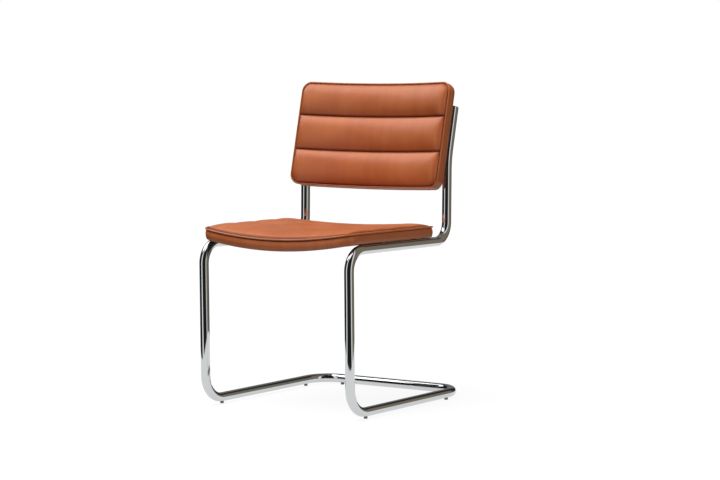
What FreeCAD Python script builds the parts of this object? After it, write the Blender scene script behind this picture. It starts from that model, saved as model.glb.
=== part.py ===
import FreeCAD, Part
import os
from math import atan2, cos, degrees, radians, sin, sqrt, tan

# Cantilever chair: one bent tube, a dished seat pad and a curved back pad.
# Millimetres, +Z up, the sitter faces -Y, the floor is Z = 0.

vec = FreeCAD.Vector

# Frame tube
tube_diameter = 25.0
tube_wall = 2.0
frame_width = 475.0
leg_y = -240.0
rear_cross_y = 276.5
rail_front_z = 436.0
rail_rear_z = 431.5
upright_foot_y = 206.5
upright_kink_y = 212.5
upright_kink_z = 648.5
back_lean = 14.0
upright_above_kink = 144.0
floor_rear_bend = 69.0
floor_front_bend = 66.0
seat_front_bend = 54.0
seat_rear_bend = 50.0
kink_bend = 246.0

# Upright caps
cap_dome = 3.0
cap_plug_length = 14.0
cap_plug_clearance = 0.15

# Floor glides
glide_height = 4.5
glide_diameter = 10.0
glide_stem_diameter = 6.0
glide_stem_inside = 4.0
glide_stem_clearance = 0.1
front_glide_past_bend = 1.0
rear_glide_past_bend = 6.5
cross_glide_past_bend = 4.5

# Upholstery shared by both pads
leather = 1.2
board_thickness = 10.0
welt_width = 3.4
welt_height = 4.6
edge_rise = 0.6
cover_turn = 2.0
glue_line = 0.3
corner_step = 15.0
inner_stations = 3
cut_margin = 1.0

# Seat pad, along the rails from the leg line
seat_side_overhang = 5.0
seat_front_overhang = 14.0
seat_depth = 398.0
seat_front_bow = 9.0
seat_front_corner = 35.0
seat_rear_corner = 20.0
seat_side_height = 28.0
seat_front_dish = 20.0
seat_rear_dish = 11.0
seat_front_crown = 18.5
seat_rear_crown = 11.0
seat_seam_rise = 0.62
seat_side_roll = 46.0
seat_channel = 96.5
seat_front_channel = 113.0
seat_seam_count = 3

# Back pad, along the uprights from their upper end
back_side_overhang = 7.5
back_above_tube = 58.0
back_height = 290.0
back_corner = 26.0
back_side_height = 30.5
back_dish = 24.0
back_crown = 16.0
back_seam_rise = 0.3
back_side_roll = 30.0
back_channel = 97.0
back_lower_channel = 100.0
back_seam_count = 2

# Fastenings
pad_clearance = 0.4
lug_thickness = 3.0
lug_width = 26.0
lug_reach = 24.0
lug_height = 1.0
screw_inset = 24.0
spacer_diameter = 18.0
screw_diameter = 6.0
screw_length = 16.0
screw_head_diameter = 10.5
screw_head_height = 3.3
screw_socket = 4.0
screw_socket_depth = 2.0
screw_hole_clearance = 0.3
insert_diameter = 9.0
insert_length = 8.0
insert_clearance = 0.05
seat_screw_front = 95.0
seat_screw_rear = 59.0
back_screw_below_top = 26.0
back_screw_spacing = 78.0

# Derived sizes
tube_radius = tube_diameter / 2
bore_radius = tube_radius - tube_wall
rail_x = frame_width / 2
front_glide_y = leg_y + floor_front_bend + front_glide_past_bend
rear_glide_y = rear_cross_y - floor_rear_bend - rear_glide_past_bend
cross_glide_x = rail_x - floor_rear_bend - cross_glide_past_bend
floor_tube_z = glide_height + tube_radius
lean = radians(back_lean)
upright_top_y = upright_kink_y + upright_above_kink * sin(lean)
upright_top_z = upright_kink_z + upright_above_kink * cos(lean)
rail_slope = atan2(rail_rear_z - rail_front_z, upright_foot_y - leg_y)
screw_x = rail_x - screw_inset
foam_level = leather + board_thickness + 2 * glue_line
lug_top = lug_height + lug_thickness
hole_radius = screw_diameter / 2 + screw_hole_clearance
front_edge_y = leg_y - seat_front_overhang - welt_width
rear_edge_y = rear_cross_y + tube_radius
centring = vec(0, -(front_edge_y + rear_edge_y) / 2, 0)


def save(name, solid):
    placed = solid.copy()
    placed.translate(centring)
    placed.exportStep("parts/" + name + ".step")
    print(name, round(placed.Volume), placed.isValid(), len(placed.Solids))


def bent_path(corners, radii):
    """Straight runs joined by arcs that touch both runs."""
    edges = []
    start = corners[0]
    for before, corner, after, radius in zip(corners, corners[1:], corners[2:], radii):
        towards_before = (before - corner).normalize()
        towards_after = (after - corner).normalize()
        half_angle = towards_before.getAngle(towards_after) / 2
        reach = radius / tan(half_angle)
        arc_start = corner + towards_before * reach
        arc_end = corner + towards_after * reach
        bisector = (towards_before + towards_after).normalize()
        arc_middle = corner + bisector * (radius / sin(half_angle) - radius)
        edges.append(Part.LineSegment(start, arc_start).toShape())
        edges.append(Part.Arc(arc_start, arc_middle, arc_end).toShape())
        start = arc_end
    edges.append(Part.LineSegment(start, corners[-1]).toShape())
    return Part.Wire(edges)


def round_bar(path, radius):
    start = path.Edges[0].Vertexes[0].Point
    direction = path.Edges[0].tangentAt(path.Edges[0].FirstParameter)
    ring = Part.Wire(Part.makeCircle(radius, start, direction))
    return path.makePipeShell([ring], True, False)


def frame_path():
    side = [
        vec(rail_x, rear_cross_y, floor_tube_z),
        vec(rail_x, leg_y, floor_tube_z),
        vec(rail_x, leg_y, rail_front_z),
        vec(rail_x, upright_foot_y, rail_rear_z),
        vec(rail_x, upright_kink_y, upright_kink_z),
        vec(rail_x, upright_top_y, upright_top_z),
    ]
    other_side = [vec(-point.x, point.y, point.z) for point in side]
    bends = [floor_rear_bend, floor_front_bend, seat_front_bend, seat_rear_bend, kink_bend]
    return bent_path(other_side[::-1] + side, bends[::-1] + bends)


def seat_frame():
    """Seat pad frame: X across, Y back along the rails from the leg line, Z off the rail."""
    turn = FreeCAD.Rotation(vec(1, 0, 0), degrees(rail_slope))
    return FreeCAD.Placement(vec(0, leg_y, rail_front_z), turn)


def back_frame():
    """Back pad frame: X across, Y up the uprights to their top, Z towards the sitter."""
    turn = FreeCAD.Rotation(vec(1, 0, 0), 90 - back_lean)
    return FreeCAD.Placement(vec(0, upright_top_y, upright_top_z), turn)


class Pad:
    """A dished pad with a channelled crown, in its own frame with the tubes at Z = 0."""

    def __init__(self, half_width, near, far, bow, near_corner, far_corner, side_height,
                 near_dish, far_dish, near_crown, far_crown, seam_rise, side_roll, seams):
        self.half_width = half_width
        self.near = near
        self.far = far
        self.bow = bow
        self.near_corner = near_corner
        self.far_corner = far_corner
        self.side_height = side_height
        self.near_dish = near_dish
        self.far_dish = far_dish
        self.near_crown = near_crown
        self.far_crown = far_crown
        self.seam_rise = seam_rise
        self.side_roll = side_roll
        self.seams = seams

    def corner_cut(self, x, radius, inset):
        into = abs(x) - (self.half_width - radius)
        size = radius - inset
        if into <= 0:
            return 0.0
        return size - sqrt(max(size * size - into * into, 0.0))

    def near_edge(self, x, inset):
        bowed = self.near + self.bow * (x / self.half_width) ** 2
        return bowed + inset + self.corner_cut(x, self.near_corner, inset)

    def far_edge(self, x, inset):
        return self.far - inset - self.corner_cut(x, self.far_corner, inset)

    def stations(self, inset):
        """Places across the pad where its sections are drawn, closer in the corners."""
        radius = max(self.near_corner, self.far_corner)
        size = radius - inset
        steps = round(90 / corner_step)
        outer = [self.half_width - radius + size * sin(radians(90.0 * k / steps)) for k in range(steps + 1)]
        spans = inner_stations + 1
        inner = [(self.half_width - radius) * k / spans for k in range(1, spans)]
        right = inner + outer
        return [-x for x in right[::-1]] + [0.0] + right

    def share_along(self, y):
        return (y - self.near) / (self.far - self.near)

    def base(self, x, y):
        """Underside of the pad above the tube centres."""
        share = self.share_along(y)
        dish = self.near_dish + (self.far_dish - self.near_dish) * share
        return tube_radius + pad_clearance + dish * ((x / rail_x) ** 2 - 1)

    def crown_at(self, x, y):
        share = self.share_along(y)
        crown = self.near_crown + (self.far_crown - self.near_crown) * share
        into = abs(x) - (self.half_width - self.side_roll)
        if into <= 0:
            return crown
        return crown * sqrt(max(1 - (into / self.side_roll) ** 2, 0.0))

    def slab(self, bottom, top, inset=0.0):
        """Everything inside the outline between two heights above the underside."""
        wires = []
        for x in self.stations(inset):
            near = self.near_edge(x, inset)
            far = self.far_edge(x, inset)
            corners = [
                vec(x, near, self.base(x, near) + bottom),
                vec(x, far, self.base(x, far) + bottom),
                vec(x, far, self.base(x, far) + top),
                vec(x, near, self.base(x, near) + top),
            ]
            wires.append(Part.makePolygon(corners + corners[:1]))
        return Part.makeLoft(wires, True, True)

    def crowned(self, bottom, inset, lowered):
        """The padded top: one arc per channel over a flat underside."""
        wires = []
        for x in self.stations(inset):
            near = self.near_edge(x, inset)
            far = self.far_edge(x, inset)
            marks = [near] + self.seams + [far]
            level = self.side_height - lowered
            heights = [0.0] + [self.seam_rise * self.crown_at(x, y) for y in self.seams] + [0.0]
            points = [vec(x, y, self.base(x, y) + level + h) for y, h in zip(marks, heights)]
            edges = []
            for start, end in zip(points, points[1:]):
                y = (start.y + end.y) / 2
                rise = edge_rise + self.crown_at(x, y)
                crest = vec(x, y, self.base(x, y) + level + rise)
                edges.append(Part.Arc(start, crest, end).toShape())
            low_far = vec(x, far, self.base(x, far) + bottom)
            low_near = vec(x, near, self.base(x, near) + bottom)
            edges.append(Part.LineSegment(points[-1], low_far).toShape())
            edges.append(Part.LineSegment(low_far, low_near).toShape())
            edges.append(Part.LineSegment(low_near, points[0]).toShape())
            wires.append(Part.Wire(edges))
        return Part.makeLoft(wires, True, True)

    def lining(self):
        return self.slab(0, leather, leather)

    def board(self):
        low = leather + glue_line
        return self.slab(low, low + board_thickness, leather)

    def foam(self):
        return self.crowned(foam_level, leather, leather)

    def seam_level(self):
        """Where the cover's turned-down edge meets the side band."""
        return self.side_height - cover_turn

    def cover(self):
        return self.crowned(self.seam_level(), 0.0, 0.0).cut(self.foam())

    def band(self):
        height = self.seam_level()
        return self.slab(0, height).cut(self.slab(-leather, height + leather, leather))

    def welt(self):
        middle = self.seam_level()
        low = middle - welt_height / 2
        high = middle + welt_height / 2
        return self.slab(low, high, -welt_width).cut(self.slab(low - cut_margin, high + cut_margin))


def build_seat_pad():
    near = -seat_front_overhang
    seams = [near + seat_front_channel + seat_channel * k for k in range(seat_seam_count)]
    return Pad(rail_x + seat_side_overhang, near, near + seat_depth, seat_front_bow,
               seat_front_corner, seat_rear_corner, seat_side_height,
               seat_front_dish, seat_rear_dish, seat_front_crown, seat_rear_crown,
               seat_seam_rise, seat_side_roll, seams)


def build_back_pad():
    near = back_above_tube - back_height
    seams = [near + back_lower_channel + back_channel * k for k in range(back_seam_count)]
    return Pad(rail_x + back_side_overhang, near, back_above_tube, 0.0,
               back_corner, back_corner, back_side_height,
               back_dish, back_dish, back_crown, back_crown,
               back_seam_rise, back_side_roll, seams)


def pillar(x, y, radius, low, high):
    return Part.makeCylinder(radius, high - low, vec(x, y, low))


def lug(x, y):
    """A flat tab welded to the inner flank of the tube."""
    side = 1 if x > 0 else -1
    inner_end = rail_x - tube_radius - lug_reach
    length = rail_x - inner_end
    corner = vec(min(side * inner_end, side * rail_x), y - lug_width / 2, lug_height)
    plate = Part.makeBox(length, lug_width, lug_thickness, corner)
    tube_start = vec(side * rail_x, y - lug_width, 0)
    tube = Part.makeCylinder(tube_radius, 2 * lug_width, tube_start, vec(0, 1, 0))
    return plate.cut(tube).cut(pillar(x, y, hole_radius, lug_height, lug_top))


def screw(x, y):
    shank = pillar(x, y, screw_diameter / 2, lug_height, lug_height + screw_length)
    head_low = lug_height - screw_head_height
    head = pillar(x, y, screw_head_diameter / 2, head_low, lug_height)
    socket = pillar(x, y, screw_socket / 2, head_low, head_low + screw_socket_depth)
    return shank.fuse(head).removeSplitter().cut(socket)


def insert_span(pad, x, y):
    low = pad.base(x, y) + leather + glue_line
    return low, low + insert_length


def insert(pad, x, y):
    low, high = insert_span(pad, x, y)
    bore = pillar(x, y, screw_diameter / 2 + insert_clearance, low, high)
    return pillar(x, y, insert_diameter / 2, low, high).cut(bore)


def spacer(pad, x, y):
    """A plastic block that carries the sloping underside of the pad on the flat lug."""
    top = pad.base(x, y) + spacer_diameter
    block = pillar(x, y, spacer_diameter / 2, lug_top, top)
    hole = pillar(x, y, hole_radius, lug_top, top)
    return block.cut(pad.slab(0, 2 * spacer_diameter, leather)).cut(hole)


def fastened(pad, places):
    """Pieces of one pad with its screw holes, and the fastenings at each place."""
    lining = pad.lining()
    board = pad.board()
    foam = pad.foam()
    fastenings = []
    for x, y in places:
        low, high = insert_span(pad, x, y)
        pocket = pillar(x, y, insert_diameter / 2 + insert_clearance, 0, high + insert_clearance)
        tip = pillar(x, y, hole_radius, 0, lug_height + screw_length + screw_hole_clearance)
        lining = lining.cut(pocket)
        board = board.cut(pocket).cut(tip)
        foam = foam.cut(tip)
        fastenings.append({
            "lug": lug(x, y),
            "spacer": spacer(pad, x, y),
            "screw": screw(x, y),
            "insert": insert(pad, x, y),
        })
    pieces = {
        "lining": lining,
        "board": board,
        "foam": foam,
        "cover": pad.cover(),
        "band": pad.band(),
        "welt": pad.welt(),
    }
    return pieces, fastenings


def seat_screw_places():
    rows = [seat_screw_front, seat_depth - seat_front_overhang - seat_screw_rear]
    return [(side * screw_x, y) for side in (-1, 1) for y in rows]


def back_screw_places():
    rows = [-back_screw_below_top, -back_screw_below_top - back_screw_spacing]
    return [(side * screw_x, y) for side in (-1, 1) for y in rows]


def place_names():
    return ["left_1", "left_2", "right_1", "right_2"]


def glide_places():
    return {
        "front_left": (-rail_x, front_glide_y),
        "front_right": (rail_x, front_glide_y),
        "rail_left": (-rail_x, rear_glide_y),
        "rail_right": (rail_x, rear_glide_y),
        "cross_left": (-cross_glide_x, rear_cross_y),
        "cross_right": (cross_glide_x, rear_cross_y),
    }


def glide(x, y):
    foot = pillar(x, y, glide_diameter / 2, 0, glide_height)
    stem_top = glide_height + tube_wall + glide_stem_inside
    stem = pillar(x, y, glide_stem_diameter / 2, 0, stem_top)
    return foot.fuse(stem).removeSplitter()


def frame_tube():
    path = frame_path()
    tube = round_bar(path, tube_radius).cut(round_bar(path, bore_radius))
    for x, y in glide_places().values():
        stem_hole = pillar(x, y, glide_stem_diameter / 2 + glide_stem_clearance, 0, floor_tube_z)
        tube = tube.cut(stem_hole)
    return tube


def upright_cap(side):
    """A domed plastic plug, modelled along the upright and set in its open end."""
    dome_radius = (tube_radius ** 2 + cap_dome ** 2) / (2 * cap_dome)
    ball = Part.makeSphere(dome_radius, vec(0, cap_dome - dome_radius, 0))
    blank = Part.makeCylinder(tube_radius, cap_dome * 2, vec(0, 0, 0), vec(0, 1, 0))
    dome = blank.common(ball)
    plug_radius = bore_radius - cap_plug_clearance
    plug = Part.makeCylinder(plug_radius, cap_plug_length, vec(0, -cap_plug_length, 0), vec(0, 1, 0))
    cap = dome.fuse(plug).removeSplitter()
    cap.translate(vec(side * rail_x, 0, 0))
    return cap


def placed(solid, placement):
    moved = solid.copy()
    moved.Placement = placement.multiply(moved.Placement)
    return moved


def main():
    os.makedirs("parts", exist_ok=True)
    save("frame_tube", frame_tube())
    for name, side in (("left", -1), ("right", 1)):
        save("upright_cap_" + name, placed(upright_cap(side), back_frame()))
    for name, (x, y) in glide_places().items():
        save("glide_" + name, glide(x, y))
    groups = (
        ("seat", build_seat_pad(), seat_frame(), seat_screw_places()),
        ("back", build_back_pad(), back_frame(), back_screw_places()),
    )
    for group, pad, placement, places in groups:
        pieces, fastenings = fastened(pad, places)
        for name, solid in pieces.items():
            save(group + "_" + name, placed(solid, placement))
        for place, solids in zip(place_names(), fastenings):
            for name, solid in solids.items():
                save(group + "_" + name + "_" + place, placed(solid, placement))


main()
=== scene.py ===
import math
import bmesh
import bpy
from mathutils import Matrix, Vector, noise


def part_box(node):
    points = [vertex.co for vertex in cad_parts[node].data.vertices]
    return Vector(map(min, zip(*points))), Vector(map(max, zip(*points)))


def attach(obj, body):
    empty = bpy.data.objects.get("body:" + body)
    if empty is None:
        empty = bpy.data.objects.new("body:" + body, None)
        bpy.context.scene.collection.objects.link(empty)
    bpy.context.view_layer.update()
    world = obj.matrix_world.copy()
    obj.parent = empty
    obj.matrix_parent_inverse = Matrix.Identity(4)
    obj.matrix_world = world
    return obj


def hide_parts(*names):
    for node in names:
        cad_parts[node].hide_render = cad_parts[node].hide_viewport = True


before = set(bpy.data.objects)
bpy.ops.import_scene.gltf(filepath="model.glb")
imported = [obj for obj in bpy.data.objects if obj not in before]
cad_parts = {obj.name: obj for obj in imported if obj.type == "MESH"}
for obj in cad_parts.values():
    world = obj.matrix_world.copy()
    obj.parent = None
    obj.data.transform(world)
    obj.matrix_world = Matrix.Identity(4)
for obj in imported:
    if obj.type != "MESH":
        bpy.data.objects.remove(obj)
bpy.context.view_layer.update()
mm = 0.001
print("frame loaded")


def hexColour(code):  # sRGB hex to the linear colour that the shaders use
    parts = [int(code[k:k + 2], 16) / 255 for k in (1, 3, 5)]
    linear = [c / 12.92 if c <= 0.04045 else ((c + 0.055) / 1.055) ** 2.4 for c in parts]
    return (*linear, 1.0)


def addNode(tree, kind, settings=None, inputs=None, links=None, stops=None):
    node = tree.nodes.new(kind)
    for name, value in (settings or {}).items():
        setattr(node, name, value)
    sockets = {s.name: s for s in node.inputs if s.enabled}  # a Mix node shows one of each name
    sockets.update(enumerate(node.inputs))
    for socket, value in (inputs or {}).items():
        sockets[socket].default_value = value
    for socket, source in (links or {}).items():
        tree.links.new(source, sockets[socket])
    for k, (place, colour) in enumerate(stops or []):
        elements = node.color_ramp.elements
        stop = elements[k] if k < 2 else elements.new(place)
        stop.position = place
        stop.color = colour
    return node


def outOf(node):  # the one output that a Mix node has switched on
    return next(s for s in node.outputs if s.enabled)


def newTree(owner):
    owner.use_nodes = True
    owner.node_tree.nodes.clear()
    return owner.node_tree


def grey(level):
    return (level, level, level, 1.0)


# Camera, from the photograph's viewing angle
camera = {
    "focalPixels": 2222.2,
    "imageWidth": 720,
    "sensor": 36.0,
    "azimuth": 35.73,
    "pitch": 4.72,
    "roll": -0.5,
    "distance": 5945.5 * mm,
    "sideways": 81.2 * mm,
    "upwards": 6.5 * mm,
    "aim": Vector((0.0, -15.8 * mm, 430 * mm)),
}


def makeCamera(c):
    data = bpy.data.cameras.new("camera")
    data.sensor_width = c["sensor"]
    data.lens = c["focalPixels"] * c["sensor"] / c["imageWidth"]
    azimuth, pitch, roll = (math.radians(c[k]) for k in ("azimuth", "pitch", "roll"))
    level = math.cos(pitch)
    behind = Vector((math.sin(azimuth) * level, -math.cos(azimuth) * level, math.sin(pitch)))
    right = Vector((math.cos(azimuth), math.sin(azimuth), 0.0))
    up = behind.cross(right)
    place = c["aim"] + behind * c["distance"] + right * c["sideways"] + up * c["upwards"]
    tilted = right * math.cos(roll) + up * math.sin(roll)
    up = up * math.cos(roll) - right * math.sin(roll)
    obj = bpy.data.objects.new("camera", data)
    bpy.context.scene.collection.objects.link(obj)
    obj.matrix_world = Matrix.Translation(place) @ Matrix((tilted, up, behind)).transposed().to_4x4()
    bpy.context.scene.camera = obj


makeCamera(camera)
bpy.context.scene.view_settings.view_transform = "Standard"
print("camera placed")

# Frame sizes that the pads hang on, in millimetres
tubeBox = [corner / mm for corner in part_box("frame_tube")]
chair = {
    "tube": 25.0,
    "railFrontZ": 436.0,
    "railRearZ": 431.5,
    "footBehindLegs": 446.5,
    "kinkBehindLegs": 452.5,
    "kinkZ": 648.5,
    "aboveKink": 144.0,
    "lean": 14.0,
    "padClearance": 0.4,
}
railX = tubeBox[1].x - chair["tube"] / 2
legY = tubeBox[0].y + chair["tube"] / 2


def seatPlace():
    slope = math.atan2(chair["railRearZ"] - chair["railFrontZ"], chair["footBehindLegs"])
    return Matrix.Translation((0, legY, chair["railFrontZ"])) @ Matrix.Rotation(slope, 4, "X")


def backPlace():
    lean = math.radians(chair["lean"])
    topY = legY + chair["kinkBehindLegs"] + chair["aboveKink"] * math.sin(lean)
    topZ = chair["kinkZ"] + chair["aboveKink"] * math.cos(lean)
    return Matrix.Translation((0, topY, topZ)) @ Matrix.Rotation(math.pi / 2 - lean, 4, "X")


seat = {
    "name": "seat",
    "place": seatPlace(),
    "halfWidth": 242.5,
    "near": -14.0,
    "length": 398.0,
    "bow": 9.0,
    "nearCorner": 35.0,
    "farCorner": 20.0,
    "side": 28.0,
    "nearDish": 20.0,
    "farDish": 11.0,
    "nearCrown": 18.5,
    "farCrown": 11.0,
    "seamRise": 0.72,
    # strength of the painted shade along the seams
    "seamShade": 0.3,
    "rimInset": 2.8,
    # how high up from the welt the painted shade reaches
    "edgeShadeDepth": 8.0,
    "nearRoll": 105.0,
    "farRoll": 46.0,
    "sag": 3.0,
    "firstChannel": 113.0,
    "channel": 96.5,
    "seams": 3,
    "columns": 108,
    "rows": 22,
}
back = {
    "name": "back",
    "place": backPlace(),
    "halfWidth": 245.0,
    "near": -228.5,
    "length": 286.5,
    "bow": 0.0,
    "nearCorner": 26.0,
    "farCorner": 26.0,
    "side": 30.5,
    "nearDish": 24.0,
    "farDish": 24.0,
    "nearCrown": 16.0,
    "farCrown": 16.0,
    "seamRise": 0.12,
    # strength of the painted shade along the seams
    "seamShade": 0.9,
    "rimInset": 2.2,
    # how high up from the welt the painted shade reaches
    "edgeShadeDepth": 4.8,
    "nearRoll": 30.0,
    "farRoll": 30.0,
    "sag": 0.0,
    "firstChannel": 96.5,
    "channel": 97.0,
    "seams": 2,
    "columns": 108,
    "rows": 22,
}
upholstery = {
    "rimDrop": 0.8,          # the leather's edge, below the top of the side
    "seamShadeWidth": 2.6,      # reach of the painted shade beside a seam
    "edgeShadeReach": 9.0,        # reach of the painted shade inside the welt
    "edgeRise": 0.6,         # least height of a channel's crest
    "bulgePower": 2.3,       # higher makes a channel flatter on top
    "bulgeRoot": 1.75,       # higher makes it steeper at its seams
    "rowEasing": 0.45,       # crowds the rows at the seams, the columns at the sides
    "rollGrowth": 1.6,       # how soon along the pad the side roll has its far width
    "tuckIn": 0.6,           # the leather's turn behind the welt
    "tuckDrop": 2.5,
    "wallIn": 1.2,           # the hidden wall down to the foam
    "wallShort": 7.0,
}


def shareAlong(pad, y):
    return (y - pad["near"]) / pad["length"]


def baseHeight(pad, x, y):  # underside of the pad above the tube centres
    dish = pad["nearDish"] + (pad["farDish"] - pad["nearDish"]) * shareAlong(pad, y)
    return chair["tube"] / 2 + chair["padClearance"] + dish * ((x / railX) ** 2 - 1)


def roundCorner(pad, x, y):  # a place in the plain rectangle, moved onto the rounded outline
    p = pad["halfWidth"] - abs(x)
    nearHalf = y < pad["near"] + pad["length"] / 2
    q = y - pad["near"] if nearHalf else pad["near"] + pad["length"] - y
    radius = pad["nearCorner"] if nearHalf else pad["farCorner"]
    inset = min(p, q)
    ring = radius - inset
    if ring > 0 and p - inset < ring and q - inset < ring:
        if p <= q:
            angle = math.radians(45 * (1 - (q - inset) / ring))
        else:
            angle = math.radians(45 + 45 * (p - inset) / ring)
        p = radius - ring * math.cos(angle)
        q = radius - ring * math.sin(angle)
    x = math.copysign(pad["halfWidth"] - p, x)
    y = pad["near"] + q if nearHalf else pad["near"] + pad["length"] - q
    return x, y + pad["bow"] * (x / pad["halfWidth"]) ** 2 * (1 - shareAlong(pad, y)) ** 2


def crownAt(pad, x, y):
    crown = pad["nearCrown"] + (pad["farCrown"] - pad["nearCrown"]) * shareAlong(pad, y)
    growth = min(upholstery["rollGrowth"] * shareAlong(pad, y), 1.0)
    roll = pad["nearRoll"] + (pad["farRoll"] - pad["nearRoll"]) * growth
    into = (abs(x) - (pad["halfWidth"] - roll)) / roll
    return crown * math.sqrt(max(1 - max(into, 0.0) ** 2, 0.0))


def channelMarks(pad):
    seams = [pad["near"] + pad["firstChannel"] + pad["channel"] * k for k in range(pad["seams"])]
    return [pad["near"]] + seams + [pad["near"] + pad["length"]]


def channelHeight(pad, x, channel, share):
    marks = channelMarks(pad)
    start, end = marks[channel], marks[channel + 1]
    low = pad["seamRise"] * crownAt(pad, x, start) if channel > 0 else 0.0
    high = pad["seamRise"] * crownAt(pad, x, end) if channel < pad["seams"] else 0.0
    crest = upholstery["edgeRise"] + crownAt(pad, x, (start + end) / 2)
    plain = low + (high - low) * share
    bulge = (1 - abs(2 * share - 1) ** upholstery["bulgePower"]) ** (1 / upholstery["bulgeRoot"])
    return plain + (crest - (low + high) / 2) * bulge


def placeMesh(name, mesh, material, smooth=True):
    for face in mesh.polygons:
        face.use_smooth = smooth
    obj = bpy.data.objects.new(name, mesh)
    bpy.context.scene.collection.objects.link(obj)
    mesh.materials.append(material)
    return obj


def finishMesh(name, bm, material, smooth=True):
    mesh = bpy.data.meshes.new(name)
    bm.to_mesh(mesh)
    bm.free()
    return placeMesh(name, mesh, material, smooth)


def addSubdivision(obj, levels=1):
    modifier = obj.modifiers.new("subdivision", "SUBSURF")
    modifier.levels = levels
    modifier.render_levels = levels
    return modifier


# Materials
chrome = {
    "colour": "#C9CBCC",
    "hazePatch": 111.1 * mm,  # size of the clouds that polishing leaves
    "roughness": (0.025, 0.06),
}


def mapped(low, high, toLow, toHigh):  # settings that carry one range to another
    return {"From Min": low, "From Max": high, "To Min": toLow, "To Max": toHigh}


def chromeMaterial():  # chrome plate over polished steel: a neutral mirror, a trace of polishing haze
    material = bpy.data.materials.new("chromePlate")
    tree = newTree(material)
    place = addNode(tree, "ShaderNodeTexCoord")
    haze = addNode(tree, "ShaderNodeTexNoise", inputs={"Scale": 1 / chrome["hazePatch"], "Detail": 3.0},
                   links={"Vector": place.outputs["Object"]})
    rough = addNode(tree, "ShaderNodeMapRange", inputs=mapped(0.35, 0.7, *chrome["roughness"]),
                    links={"Value": haze.outputs["Fac"]})
    shader = addNode(tree, "ShaderNodeBsdfPrincipled",
                     inputs={"Base Color": hexColour(chrome["colour"]), "Metallic": 1.0},
                     links={"Roughness": rough.outputs["Result"]})
    addNode(tree, "ShaderNodeOutputMaterial", links={"Surface": shader.outputs["BSDF"]})
    return material


leather = {
    "grain": 1.3 * mm,       # pebble of the grain; the real one is nearer 0.7, drawn coarser to show
    "mottle": 90 * mm,
    "band": 26 * mm,         # faint streaks across the hide, stretched tall
    "bandStretch": 0.08,
    "dark": "#B55D2C",
    "mid": "#BD6532",
    "light": "#C56E3A",
    # painted shade: the dark brown laid into the seams and the groove at the welt
    "creaseShade": "#4A1B0E",
    "streakShare": 0.4,
    "bumpDepth": 0.3 * mm,
    "roughness": (0.34, 0.42),
    "creaseRoughness": 0.9,
    "coat": 0.15,
    "coatRoughness": 0.3,
}


def leatherMaterial():  # aniline leather, semi-gloss finish: a fine pebble, and painted shade in the seams and at the welt
    material = bpy.data.materials.new("cognacLeather")
    tree = newTree(material)
    place = addNode(tree, "ShaderNodeTexCoord")
    mottle = addNode(tree, "ShaderNodeTexNoise",
                     inputs={"Scale": 1 / leather["mottle"], "Detail": 3.0, "Roughness": 0.5},
                     links={"Vector": place.outputs["Object"]})
    stretch = leather["bandStretch"]
    tall = addNode(tree, "ShaderNodeMapping", inputs={"Scale": (1.0, stretch, stretch)},
                   links={"Vector": place.outputs["Object"]})
    streak = addNode(tree, "ShaderNodeTexNoise",
                     inputs={"Scale": 1 / leather["band"], "Detail": 2.0, "Roughness": 0.5},
                     links={"Vector": tall.outputs["Vector"]})
    hide = addNode(tree, "ShaderNodeMix", inputs={"Factor": leather["streakShare"]},
                   links={"A": mottle.outputs["Fac"], "B": streak.outputs["Fac"]})
    tone = addNode(tree, "ShaderNodeValToRGB", links={"Fac": outOf(hide)},
                   stops=[(0.34, hexColour(leather["dark"])), (0.68, hexColour(leather["light"])),
                          (0.5, hexColour(leather["mid"]))])
    # painted shade: a per-vertex mask that darkens the leather in seams and grooves, and dulls it there
    creaseShade = addNode(tree, "ShaderNodeAttribute", settings={"attribute_name": "creaseShade"})
    shadedTone = addNode(tree, "ShaderNodeMix", settings={"data_type": "RGBA"},
                   inputs={"B": hexColour(leather["creaseShade"])},
                   links={"A": tone.outputs["Color"], "Factor": creaseShade.outputs["Fac"]})
    pebble = addNode(tree, "ShaderNodeTexVoronoi", inputs={"Scale": 1 / leather["grain"]},
                     links={"Vector": place.outputs["Object"]})
    fine = addNode(tree, "ShaderNodeTexNoise", inputs={"Scale": 2.2 / leather["grain"], "Detail": 2.0},
                   links={"Vector": place.outputs["Object"]})
    grain = addNode(tree, "ShaderNodeMath", settings={"operation": "ADD"},
                    links={0: pebble.outputs["Distance"], 1: fine.outputs["Fac"]})
    bump = addNode(tree, "ShaderNodeBump", inputs={"Strength": 0.12, "Distance": leather["bumpDepth"]},
                   links={"Height": grain.outputs["Value"]})
    rough = addNode(tree, "ShaderNodeMapRange", inputs=mapped(0.3, 0.7, *leather["roughness"]),
                    links={"Value": mottle.outputs["Fac"]})
    dulled = addNode(tree, "ShaderNodeMix", inputs={"B": leather["creaseRoughness"]},
                     links={"A": rough.outputs["Result"], "Factor": creaseShade.outputs["Fac"]})
    shader = addNode(tree, "ShaderNodeBsdfPrincipled",
                     inputs={"IOR": 1.5, "Specular IOR Level": 0.5, "Coat Weight": leather["coat"],
                             "Coat Roughness": leather["coatRoughness"]},
                     links={"Base Color": outOf(shadedTone), "Roughness": outOf(dulled),
                            "Normal": bump.outputs["Normal"]})
    addNode(tree, "ShaderNodeOutputMaterial", links={"Surface": shader.outputs["BSDF"]})
    return material


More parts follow.
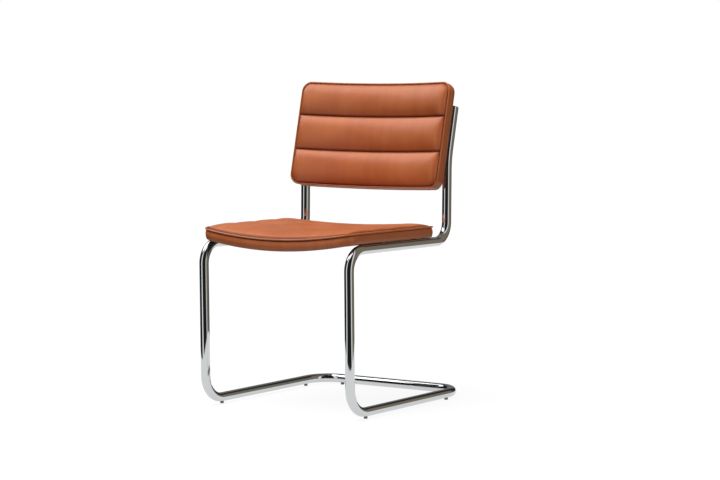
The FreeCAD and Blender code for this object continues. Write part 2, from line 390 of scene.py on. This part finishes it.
def plainMaterial(name, colour, roughness, patternSize, metallic=0.0, depth=0.05 * mm, spread=0.08):
    material = bpy.data.materials.new(name)
    tree = newTree(material)
    place = addNode(tree, "ShaderNodeTexCoord")
    grain = addNode(tree, "ShaderNodeTexNoise", inputs={"Scale": 1 / patternSize, "Detail": 3.0},
                    links={"Vector": place.outputs["Object"]})
    shade = addNode(tree, "ShaderNodeMapRange", inputs=mapped(0.3, 0.7, 1 - spread, 1 + spread),
                    links={"Value": grain.outputs["Fac"]})
    tint = addNode(tree, "ShaderNodeVectorMath", settings={"operation": "SCALE"},
                   inputs={0: hexColour(colour)[:3]}, links={"Scale": shade.outputs["Result"]})
    bump = addNode(tree, "ShaderNodeBump", inputs={"Strength": 0.4, "Distance": depth},
                   links={"Height": grain.outputs["Fac"]})
    rough = addNode(tree, "ShaderNodeMapRange",
                    inputs=mapped(0.3, 0.7, roughness * 0.9, roughness * 1.1),
                    links={"Value": grain.outputs["Fac"]})
    shader = addNode(tree, "ShaderNodeBsdfPrincipled", inputs={"Metallic": metallic},
                     links={"Base Color": tint.outputs["Vector"], "Roughness": rough.outputs["Result"],
                            "Normal": bump.outputs["Normal"]})
    addNode(tree, "ShaderNodeOutputMaterial", links={"Surface": shader.outputs["BSDF"]})
    return material


chromePlate = chromeMaterial()
cognacLeather = leatherMaterial()
blackPolythene = plainMaterial("blackPolythene", "#1B1B1D", 0.42, 1.2 * mm)  # moulded, faintly uneven
greyNylon = plainMaterial("greyNylon", "#8A8B8C", 0.45, 1.0 * mm)            # moulded, scuffed by floors
blackNylon = plainMaterial("blackNylon", "#202020", 0.5, 1.0 * mm)
zincSteel = plainMaterial("zincSteel", "#9A9C9E", 0.3, 0.8 * mm, metallic=1.0)      # plated, spangled
turnedBrass = plainMaterial("turnedBrass", "#B99A54", 0.35, 0.8 * mm, metallic=1.0)
beechPly = plainMaterial("beechPly", "#C49A6B", 0.6, 6.0 * mm)                      # sanded veneer
dustCloth = plainMaterial("dustCloth", "#1E1D1D", 0.9, 0.6 * mm, depth=0.15 * mm, spread=0.25)  # felted
waxedThread = plainMaterial("waxedThread", "#7A3F22", 0.55, 0.5 * mm)               # twisted, waxed

slotMaterials = {
    "chrome_tube": chromePlate,
    "lug_steel": chromePlate,
    "cap_plastic": blackPolythene,
    "glide_plastic": greyNylon,
    "spacer_plastic": blackNylon,
    "tan_leather": cognacLeather,
    "lining_cloth": dustCloth,
    "plywood": beechPly,
    "foam": cognacLeather,
    "screw_steel": zincSteel,
    "insert_brass": turnedBrass,
}
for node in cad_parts.values():
    for holder in node.material_slots:
        holder.material = slotMaterials[holder.material.name]
print("materials")


# Cushions: a channelled sheet of leather, blown up by cloth pressure between its sewn lines
puffing = {
    "frames": 20,
    "quality": 5,
    "mass": 0.4,
    "pressure": 2.2,
    "stiffness": 15.0,
    "bending": 12.0,
    "damping": 10.0,
    "airDamping": 4.0,
    "mostMove": 3.0,
    "seamSlope": 0.25,       # how far a point may move, for each millimetre from its nearest seam
    "smoothing": 8,          # rounds of smoothing afterwards
    "seamHold": 8.0,         # no smoothing nearer to a seam than this
    "seedNoise": 0.5,        # small unevenness to start from
    "seedPatch": 20.0,
}


def puff(obj, pins, pad):
    before = [v.co.copy() for v in obj.data.vertices]
    group = obj.vertex_groups.new(name="pins")
    group.add(pins, 1.0, "ADD")
    cloth = obj.modifiers.new("cloth", "CLOTH")
    settings = cloth.settings
    settings.quality = puffing["quality"]
    settings.mass = puffing["mass"]
    settings.tension_stiffness = puffing["stiffness"]
    settings.compression_stiffness = puffing["stiffness"]
    settings.shear_stiffness = puffing["stiffness"] / 2
    settings.bending_stiffness = puffing["bending"]
    settings.tension_damping = puffing["damping"]
    settings.compression_damping = puffing["damping"]
    settings.air_damping = puffing["airDamping"]
    settings.use_pressure = True
    settings.uniform_pressure_force = puffing["pressure"]
    settings.vertex_group_mass = "pins"
    settings.effector_weights.gravity = 0.0
    for frameNumber in range(1, puffing["frames"] + 1):
        bpy.context.scene.frame_set(frameNumber)
    settled = obj.evaluated_get(bpy.context.evaluated_depsgraph_get()).to_mesh()
    after = [v.co.copy() for v in settled.vertices]
    obj.modifiers.remove(cloth)
    bpy.context.scene.frame_set(1)
    marks = channelMarks(pad)
    longest = 0.0
    for vertex, start, end in zip(obj.data.vertices, before, after):
        move = end - start
        longest = max(longest, move.length)
        fromSeam = min(abs(start.y / mm - mark) for mark in marks)
        limit = min(puffing["mostMove"], puffing["seamSlope"] * fromSeam) * mm
        if move.length > limit:
            move = move * (limit / move.length)
        vertex.co = start + move
    held = set(pins)
    bm = bmesh.new()
    bm.from_mesh(obj.data)
    free = [v for v in bm.verts if v.index not in held
            and min(abs(v.co.y / mm - mark) for mark in marks) > puffing["seamHold"]]
    for _ in range(puffing["smoothing"]):
        bmesh.ops.smooth_vert(bm, verts=free, factor=0.5, use_axis_x=True, use_axis_y=True, use_axis_z=True)
    bm.to_mesh(obj.data)
    bm.free()
    print("puffed", obj.name, "largest move", round(longest / mm, 2), "mm")


def pulledIn(pad, inset):
    inner = dict(pad)
    inner["halfWidth"] -= inset
    inner["near"] += inset
    inner["length"] -= 2 * inset
    inner["nearCorner"] -= inset
    inner["farCorner"] -= inset
    return inner


def makeCushion(pad):
    cell = upholstery
    inner = pulledIn(pad, pad["rimInset"])
    bm = bmesh.new()
    channels = pad["seams"] + 1
    rows = pad["rows"] * channels
    bmesh.ops.create_grid(bm, x_segments=pad["columns"], y_segments=rows, size=1.0)
    marks = channelMarks(pad)
    marks[0] = inner["near"]
    marks[-1] = inner["near"] + inner["length"]
    creases = bm.edges.layers.float.new("crease_edge")
    # painted shade, per vertex: dark along the seams and low down inside the welt
    shadeLayer = bm.verts.layers.float.new("creaseShade")
    seamVerts = set()
    rim = set()
    level = pad["side"]
    for v in bm.verts:
        row = round((v.co.y + 1) / 2 * rows)
        column = round((v.co.x + 1) / 2 * pad["columns"])
        channel = min(row // pad["rows"], channels - 1)
        share = row / pad["rows"] - channel
        eased = share + cell["rowEasing"] * (0.5 - 0.5 * math.cos(math.pi * share) - share)
        easedX = v.co.x + cell["rowEasing"] * (math.sin(math.pi / 2 * v.co.x) - v.co.x)
        flatX = easedX * inner["halfWidth"]
        flatY = marks[channel] + (marks[channel + 1] - marks[channel]) * eased
        x, y = roundCorner(inner, flatX, flatY)
        height = channelHeight(inner, x, channel, eased)
        fromSeam = min(abs(flatY - mark) for mark in marks)
        fromSide = inner["halfWidth"] - abs(flatX)
        fromEnds = min(abs(flatY - marks[0]), abs(flatY - marks[-1]), fromSide)
        # painted shade: darker where the leather lies low by the welt, and near each seam
        edgeShade = math.exp(-(height / pad["edgeShadeDepth"]) ** 2) if fromEnds < cell["edgeShadeReach"] else 0.0
        v[shadeLayer] = max(pad["seamShade"] * math.exp(-(fromSeam / cell["seamShadeWidth"]) ** 2), edgeShade)
        if row % pad["rows"] == 0 and 0 < row < rows:
            seamVerts.add(v)
        if row in (0, rows) or column in (0, pad["columns"]):
            rim.add(v)
            height = -cell["rimDrop"]
        elif v not in seamVerts:
            height += puffing["seedNoise"] * noise.noise(Vector((x, y, 3.0)) / puffing["seedPatch"])
        v.co = Vector((x, y, baseHeight(pad, x, y) + level + height)) * mm
    for edge in bm.edges:
        if all(v in seamVerts for v in edge.verts):
            edge[creases] = 1.0
    pins = [v.index for v in bm.verts if v in seamVerts or v in rim]
    obj = finishMesh(pad["name"] + "Cushion", bm, cognacLeather)
    puff(obj, pins, pad)
    obj.vertex_groups.clear()
    applySubdivision(obj)
    closeCushion(obj, pad)
    return obj


def applySubdivision(obj):
    addSubdivision(obj)
    mesh = bpy.data.meshes.new_from_object(obj.evaluated_get(bpy.context.evaluated_depsgraph_get()))
    obj.modifiers.clear()
    obj.data = mesh


def closeCushion(obj, pad):  # the leather turns down behind the welt, and a flat underside closes it
    bm = bmesh.new()
    bm.from_mesh(obj.data)
    rim = [e for e in bm.edges if e.is_boundary]
    tuck = (upholstery["tuckIn"], upholstery["tuckDrop"])
    wall = (upholstery["wallIn"], pad["side"] - upholstery["wallShort"])
    for inward, drop in (tuck, wall):
        made = bmesh.ops.extrude_edge_only(bm, edges=rim)["geom"]
        rim = [e for e in made if isinstance(e, bmesh.types.BMEdge) and e.is_boundary]
        for v in {v for e in rim for v in e.verts}:
            v.co.x -= math.copysign(inward * mm, v.co.x)
            v.co.y -= math.copysign(inward * mm, v.co.y / mm - (pad["near"] + pad["length"] / 2))
            v.co.z -= drop * mm
    bmesh.ops.holes_fill(bm, edges=rim, sides=0)
    bmesh.ops.recalc_face_normals(bm, faces=bm.faces)
    bm.to_mesh(obj.data)
    bm.free()


def settle(obj, pad):  # from the pad's own frame to the chair's
    place = pad["place"].copy()
    place.translation *= mm
    obj.data.transform(place)
    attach(obj, "root")
    return obj


cushions = {}
for pad in (seat, back):
    cushion = makeCushion(pad)
    settle(cushion, pad)
    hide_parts(pad["name"] + "_foam", pad["name"] + "_cover")
    cushions[pad["name"]] = cushion
    print("cushion", pad["name"])


# Side bands, welts and undersides follow the pad's outline
def outline(pad, offset, step=6.0):
    near, far = pad["near"], pad["near"] + pad["length"]
    places = []
    corners = (
        (1, near, pad["nearCorner"], -90, 1),
        (1, far, pad["farCorner"], 0, -1),
        (-1, far, pad["farCorner"], 90, -1),
        (-1, near, pad["nearCorner"], 180, 1),
    )
    for side, edge, radius, start, inward in corners:
        centreX = side * (pad["halfWidth"] - radius)
        centreY = edge + inward * radius
        turns = max(6, round(radius * math.pi / 2 / step * 2))
        for k in range(turns + 1):
            angle = math.radians(start + 90 * k / turns)
            reach = radius + offset
            places.append((centreX + reach * math.cos(angle), centreY + reach * math.sin(angle)))
    full = []
    for k, (x, y) in enumerate(places):
        nextX, nextY = places[(k + 1) % len(places)]
        pieces = max(1, round(math.hypot(nextX - x, nextY - y) / step))
        full += [(x + (nextX - x) * j / pieces, y + (nextY - y) * j / pieces) for j in range(pieces)]
    bowed = []
    for x, y in full:
        share = min(max(shareAlong(pad, y), 0.0), 1.0)
        bowed.append((x, y + pad["bow"] * (x / pad["halfWidth"]) ** 2 * (1 - share) ** 2))
    return bowed


def sweepRound(pad, profile, name, material):
    # profile is a list of (distance outside the outline, height above the underside, strength of the
    # painted shade)
    bm = bmesh.new()
    # painted shade, per vertex, from the profile's third column
    shadeLayer = bm.verts.layers.float.new("creaseShade")
    count = len(outline(pad, 0.0))
    ring = bmesh.ops.create_circle(bm, segments=count, radius=1.0)["verts"]
    rings = [ring]
    edges = list(bm.edges)
    for _ in profile[1:]:
        made = bmesh.ops.extrude_edge_only(bm, edges=edges)["geom"]
        rings.append([v for v in made if isinstance(v, bmesh.types.BMVert)])
        edges = [e for e in made if isinstance(e, bmesh.types.BMEdge) and e.is_boundary]
    for ringVerts, (offset, height, shadeAmount) in zip(rings, profile):
        ordered = sorted(ringVerts, key=lambda v: math.atan2(v.co.y, v.co.x) % (2 * math.pi))
        for v, (x, y) in zip(ordered, outline(pad, offset)):
            sag = pad["sag"] * (1 - shareAlong(pad, y)) ** 2 * (1 - (x / pad["halfWidth"]) ** 2)
            v.co = Vector((x, y, baseHeight(pad, x, y) + height - sag * (1 - height / pad["side"]))) * mm
            v[shadeLayer] = shadeAmount
    bmesh.ops.recalc_face_normals(bm, faces=bm.faces)
    return finishMesh(name, bm, material)


welt = {
    "radius": 2.5,
    "outside": 0.2,
    "level": -0.7,           # its middle, from the top of the side
    "step": 4.0,
    "resolution": 4,
}
band = {
    # from the middle of the welt: distance outside the outline, depth below the side's top, painted shade
    "groove": ((-3.0, 2.0, 1.0), (-1.8, 3.0, 1.0), (-0.7, 4.0, 0.8), (0.0, 5.2, 0.1)),
    "bulge": 2.0,
    "bulgeSteps": 7,
    "bottomRound": 3.0,
    "roundSteps": 4,
    "underlap": 7.0,
    # painted shade where the band turns in under the pad
    "underlapShade": 0.3,
}


def makeBand(pad):
    profile = [(welt["outside"], pad["side"] + welt["level"], 1.0)]
    profile += [(offset, pad["side"] - depth, shadeAmount) for offset, depth, shadeAmount in band["groove"]]
    below = profile[-1][1]
    radius = band["bottomRound"]
    for k in range(1, band["bulgeSteps"]):
        share = k / band["bulgeSteps"]
        height = below - (below - radius) * share
        profile.append((band["bulge"] * math.sin(math.pi * share), height, 0.0))
    for k in range(band["roundSteps"] + 1):
        angle = math.radians(90 * k / band["roundSteps"])
        profile.append((-radius + radius * math.cos(angle), radius - radius * math.sin(angle), 0.0))
    profile.append((-band["underlap"], 0.0, band["underlapShade"]))
    return sweepRound(pad, profile, pad["name"] + "Band", cognacLeather)


def makeWelt(pad):
    level = pad["side"] + welt["level"]
    curve = bpy.data.curves.new(pad["name"] + "Welt", "CURVE")
    curve.dimensions = "3D"
    curve.bevel_depth = welt["radius"] * mm
    curve.bevel_resolution = welt["resolution"]
    places = outline(pad, welt["outside"], welt["step"])
    spline = curve.splines.new("POLY")
    spline.points.add(len(places) - 1)
    for point, (x, y) in zip(spline.points, places):
        point.co = (x * mm, y * mm, (baseHeight(pad, x, y) + level) * mm, 1.0)
    spline.use_cyclic_u = True
    source = bpy.data.objects.new("weltCurve", curve)
    mesh = bpy.data.meshes.new_from_object(source)
    bpy.data.objects.remove(source)
    mesh.name = pad["name"] + "Welt"
    return placeMesh(mesh.name, mesh, cognacLeather)


for pad in (seat, back):
    bandPiece = settle(makeBand(pad), pad)
    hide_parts(pad["name"] + "_band")
    addSubdivision(bandPiece)
    weltPiece = settle(makeWelt(pad), pad)
    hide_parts(pad["name"] + "_welt")
    print("band and welt", pad["name"])


# Undersides: a stapled dust cloth below the seat, a sewn leather panel behind the back
lining = {
    "seat": {"inset": 9.0, "crown": 0.0, "columns": 60, "rows": 48, "flat": (0.468, 0.380)},
    "back": {"inset": 6.5, "crown": 3.0, "columns": 60, "rows": 40},
    "level": -0.25,          # the tubes pass 0.4 mm below the pads
    "clothThickness": 0.4,
    "staplePitch": 42.0,
    "stapleInset": 14.0,
    "stapleSize": (10.0, 1.2, 0.6),
    "stapleEdge": 0.2,
    "stitchPitch": 5.0,
    "stitchInset": 10.5,
    "stitchSize": (3.6, 0.9, 0.7),
    "seamPitch": 6.0,
    "seamInset": 16.0,
    "seamLift": 0.1,
    "seamStitchSize": (4.4, 0.9, 0.9),
}


def liningCrown(cut, across, along):  # how far the panel is stuffed outwards, from -1 to 1 each way
    return cut["crown"] * (1 - across ** 2) * (1 - along ** 4)


def makeLining(pad, material):
    cut = lining[pad["name"]]
    inner = pulledIn(pad, cut["inset"])
    bm = bmesh.new()
    bmesh.ops.create_grid(bm, x_segments=cut["columns"], y_segments=cut["rows"], size=1.0)
    for v in bm.verts:
        crown = liningCrown(cut, v.co.x, v.co.y)
        flatY = inner["near"] + inner["length"] * (v.co.y + 1) / 2
        x, y = roundCorner(inner, v.co.x * inner["halfWidth"], flatY)
        v.co = Vector((x, y, baseHeight(pad, x, y) + lining["level"] - crown)) * mm
    bmesh.ops.reverse_faces(bm, faces=bm.faces)
    piece = finishMesh(pad["name"] + "Underside", bm, material)
    thick = piece.modifiers.new("cloth", "SOLIDIFY")
    thick.thickness = lining["clothThickness"] * mm
    thick.offset = -1.0
    return piece


def alongOutline(pad, inset, pitch):  # even steps round the outline: place and heading
    places = [Vector(p) for p in outline(pad, -inset, step=2.0)]
    loop = list(zip(places, places[1:] + places[:1]))
    total = sum((b - a).length for a, b in loop)
    count = round(total / pitch)
    found, travelled = [], 0.0
    for a, b in loop:
        length = (b - a).length
        while len(found) < count and travelled + length > (len(found) + 0.5) * total / count:
            share = ((len(found) + 0.5) * total / count - travelled) / length
            heading = b - a
            found.append((a + heading * share, math.atan2(heading.y, heading.x)))
        travelled += length
    return found


def addBead(bm, place, heading, size):  # one thread stitch, a long rounded bead
    turned = Matrix.Translation(place * mm) @ Matrix.Rotation(heading, 4, "Z")
    shaped = turned @ Matrix.Diagonal([side / 2 * mm for side in size] + [1.0])
    bmesh.ops.create_uvsphere(bm, u_segments=8, v_segments=4, radius=1.0, matrix=shaped)


def makeEdgeStitches(pad):
    cut = lining[pad["name"]]
    bm = bmesh.new()
    for place, heading in alongOutline(pad, lining["stitchInset"], lining["stitchPitch"]):
        across = place.x / (pad["halfWidth"] - cut["inset"])
        along = 2 * (place.y - pad["near"] - cut["inset"]) / (pad["length"] - 2 * cut["inset"]) - 1
        level = baseHeight(pad, place.x, place.y) + lining["level"] - liningCrown(cut, across, along)
        addBead(bm, Vector((place.x, place.y, level)), heading, lining["stitchSize"])
    return finishMesh(pad["name"] + "EdgeStitches", bm, waxedThread)


def makeSeamStitches(pad):
    bm = bmesh.new()
    reach = pad["halfWidth"] - lining["seamInset"]
    count = round(2 * reach / lining["seamPitch"])
    for mark in channelMarks(pad)[1:-1]:
        for k in range(count + 1):
            x, y = roundCorner(pad, reach * (2 * k / count - 1), mark)
            level = baseHeight(pad, x, y) + pad["side"] + pad["seamRise"] * crownAt(pad, x, y)
            place = Vector((x, y, level + lining["seamLift"]))
            addBead(bm, place, 0.0, lining["seamStitchSize"])
    return finishMesh(pad["name"] + "SeamStitches", bm, waxedThread)


def makeStaples(pad):
    bm = bmesh.new()
    for place, heading in alongOutline(pad, lining["stapleInset"], lining["staplePitch"]):
        level = baseHeight(pad, place.x, place.y) + lining["level"]
        spot = Matrix.Translation(Vector((place.x, place.y, level)) * mm) @ Matrix.Rotation(heading, 4, "Z")
        shaped = spot @ Matrix.Diagonal([side * mm for side in lining["stapleSize"]] + [1.0])
        made = bmesh.ops.create_cube(bm, size=1.0, matrix=shaped)["verts"]
        edges = list({e for v in made for e in v.link_edges})
        bmesh.ops.bevel(bm, geom=edges, offset=lining["stapleEdge"] * mm, segments=2, affect="EDGES",
                        profile=0.5, material=-1)
    return finishMesh(pad["name"] + "Staples", bm, zincSteel)


dustSheet = settle(makeLining(seat, dustCloth), seat)
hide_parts("seat_lining")
staples = settle(makeStaples(seat), seat)
rearPanel = settle(makeLining(back, cognacLeather), back)
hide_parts("back_lining")
edgeStitches = settle(makeEdgeStitches(back), back)
for pad in (seat, back):
    seamStitches = settle(makeSeamStitches(pad), pad)
print("undersides and stitches")


# Studio: pale floor, soft lamps, and cards that only the polished metal sees
studio = {
    "floorSize": 60.0,
    "ambient": 0.12,
    "key": {"strength": 3.2, "angle": 45.0, "comesFrom": Vector((-0.2, -0.32, 1.0))},
    "fill": {"strength": 1.0, "angle": 60.0, "comesFrom": Vector((1.0, -0.3, 0.35))},
    "rear": {"strength": 1.3, "angle": 60.0, "comesFrom": Vector((-0.5, 1.0, 0.45))},
    "paper": 0.08,           # the floor as the chair's own light sees it
    "floorGlow": 0.9,        # the floor as the camera sees it, white but for the shadow
    "floorCatch": 0.1,
    "drumRadius": 3.0,
    "drumHeight": 3.2,
    "drumLift": 0.0005,
    "floorReach": 1.3,       # the walls' pattern runs in over the floor as far as this radius
    "dark": grey(0.02),
    "dim": grey(0.2),
    "strip": grey(1.1),
    "warm": hexColour("#8A8070"),
    "walls": ((-180, "dark"), (-160, "dim"), (-130, "dim"), (-115, "dark"), (-34, "dark"), (-28, "strip"),
              (-12, "strip"), (-6, "dark"), (70, "dark"), (74, "strip"), (88, "strip"), (94, "warm"),
              (150, "warm"), (165, "dark"), (180, "dark")),
    "chairMiddle": Vector((0.0, 0.1, 0.6)),
    "topBox": {"place": Vector((-0.3, -0.9, 3.0)), "size": 1.0, "strength": 1.5},
    "sideBox": {"place": Vector((-1.5, -0.35, 2.35)), "size": 0.9, "strength": 3.0},
}


def backdropSeen(tree):  # 1 where the backdrop is looked at, straight, in a mirror or through glass
    path = addNode(tree, "ShaderNodeLightPath")
    mirrored = addNode(tree, "ShaderNodeMath", settings={"operation": "MAXIMUM"},
                       links={0: path.outputs["Is Camera Ray"], 1: path.outputs["Is Glossy Ray"]})
    seen = addNode(tree, "ShaderNodeMath", settings={"operation": "MAXIMUM"},
                   links={0: mirrored.outputs["Value"], 1: path.outputs["Is Transmission Ray"]})
    return seen.outputs["Value"]


def makeWorld():
    world = bpy.data.worlds.new("world")
    bpy.context.scene.world = world
    tree = newTree(world)
    strength = addNode(tree, "ShaderNodeMapRange", inputs={"To Min": studio["ambient"], "To Max": 1.0},
                       links={"Value": backdropSeen(tree)})
    light = addNode(tree, "ShaderNodeBackground", inputs={"Color": grey(1.0)},
                    links={"Strength": strength.outputs["Result"]})
    addNode(tree, "ShaderNodeOutputWorld", links={"Surface": light.outputs["Background"]})


def makeFloor():
    material = bpy.data.materials.new("studioPaper")
    tree = newTree(material)
    paper = addNode(tree, "ShaderNodeBsdfDiffuse", inputs={"Color": grey(studio["paper"])})
    catcher = addNode(tree, "ShaderNodeBsdfDiffuse", inputs={"Color": grey(studio["floorCatch"])})
    glow = addNode(tree, "ShaderNodeEmission", inputs={"Color": grey(1.0), "Strength": studio["floorGlow"]})
    lit = addNode(tree, "ShaderNodeAddShader",
                  links={0: catcher.outputs["BSDF"], 1: glow.outputs["Emission"]})
    mixed = addNode(tree, "ShaderNodeMixShader",
                    links={0: backdropSeen(tree), 1: paper.outputs["BSDF"], 2: lit.outputs["Shader"]})
    addNode(tree, "ShaderNodeOutputMaterial", links={"Surface": mixed.outputs["Shader"]})
    bm = bmesh.new()
    bmesh.ops.create_grid(bm, x_segments=1, y_segments=1, size=studio["floorSize"])
    floor = finishMesh("floor", bm, material)


def makeSun(name, strength, angle, comesFrom):
    data = bpy.data.lights.new(name, "SUN")
    data.energy = strength
    data.angle = math.radians(angle)
    lamp = bpy.data.objects.new(name, data)
    bpy.context.scene.collection.objects.link(lamp)
    lamp.rotation_mode = "QUATERNION"
    lamp.rotation_quaternion = comesFrom.to_track_quat("Z", "Y")
    lamp.visible_glossy = False


def onlyReflected(obj):
    obj.visible_camera = False
    obj.visible_diffuse = False
    obj.visible_shadow = False
    obj.visible_transmission = False
    obj.visible_volume_scatter = False


def makeSoftbox(name, place, size, strength):  # a bright cloth facing the chair, in reflections alone
    material = bpy.data.materials.new(name + "Cloth")
    tree = newTree(material)
    glow = addNode(tree, "ShaderNodeEmission", inputs={"Color": grey(1.0), "Strength": strength})
    addNode(tree, "ShaderNodeOutputMaterial", links={"Surface": glow.outputs["Emission"]})
    bm = bmesh.new()
    bmesh.ops.create_grid(bm, x_segments=1, y_segments=1, size=size)
    facing = (studio["chairMiddle"] - place).to_track_quat("Z", "Y").to_matrix().to_4x4()
    bmesh.ops.transform(bm, matrix=Matrix.Translation(place) @ facing, verts=bm.verts)
    onlyReflected(finishMesh(name, bm, material))


def makeDrum():  # dark studio walls with two bright strips and a warm side, in reflections alone
    material = bpy.data.materials.new("studioWalls")
    tree = newTree(material)
    place = addNode(tree, "ShaderNodeTexCoord")
    split = addNode(tree, "ShaderNodeSeparateXYZ", links={"Vector": place.outputs["Object"]})
    # 0 degrees is straight ahead of the seat, and they grow towards +X
    flip = addNode(tree, "ShaderNodeMath", settings={"operation": "MULTIPLY"}, inputs={1: -1.0},
                   links={0: split.outputs["Y"]})
    angle = addNode(tree, "ShaderNodeMath", settings={"operation": "ARCTAN2"},
                    links={0: split.outputs["X"], 1: flip.outputs["Value"]})
    turn = addNode(tree, "ShaderNodeMapRange", inputs={"From Min": -math.pi, "From Max": math.pi},
                   links={"Value": angle.outputs["Value"]})
    walls = addNode(tree, "ShaderNodeValToRGB", links={"Fac": turn.outputs["Result"]},
                    stops=[((degrees + 180) / 360, studio[tone]) for degrees, tone in studio["walls"]])
    glow = addNode(tree, "ShaderNodeEmission", links={"Color": walls.outputs["Color"]})
    addNode(tree, "ShaderNodeOutputMaterial", links={"Surface": glow.outputs["Emission"]})
    bm = bmesh.new()
    ring = bmesh.ops.create_circle(bm, segments=96, radius=studio["drumRadius"])
    made = bmesh.ops.extrude_edge_only(bm, edges=bm.edges)["geom"]
    top = [v for v in made if isinstance(v, bmesh.types.BMVert)]
    bmesh.ops.translate(bm, verts=top, vec=(0, 0, studio["drumHeight"]))
    bmesh.ops.contextual_create(bm, geom=top)
    foot = [e for e in bm.edges if all(v.co.z < studio["drumHeight"] / 2 for v in e.verts)]
    made = bmesh.ops.extrude_edge_only(bm, edges=foot)["geom"]
    inner = [v for v in made if isinstance(v, bmesh.types.BMVert)]
    nearer = studio["floorReach"] / studio["drumRadius"]
    bmesh.ops.scale(bm, verts=inner, vec=(nearer, nearer, 1.0))
    low = list({v for e in foot for v in e.verts}) + inner
    bmesh.ops.translate(bm, verts=low, vec=(0, 0, studio["drumLift"]))
    onlyReflected(finishMesh("studioDrum", bm, material, smooth=False))


makeWorld()
makeFloor()
makeSun("keyLamp", **studio["key"])
makeSun("fillLamp", **studio["fill"])
makeSun("rearLamp", **studio["rear"])
for box in ("topBox", "sideBox"):
    makeSoftbox(box, **studio[box])
makeDrum()
print("studio set")
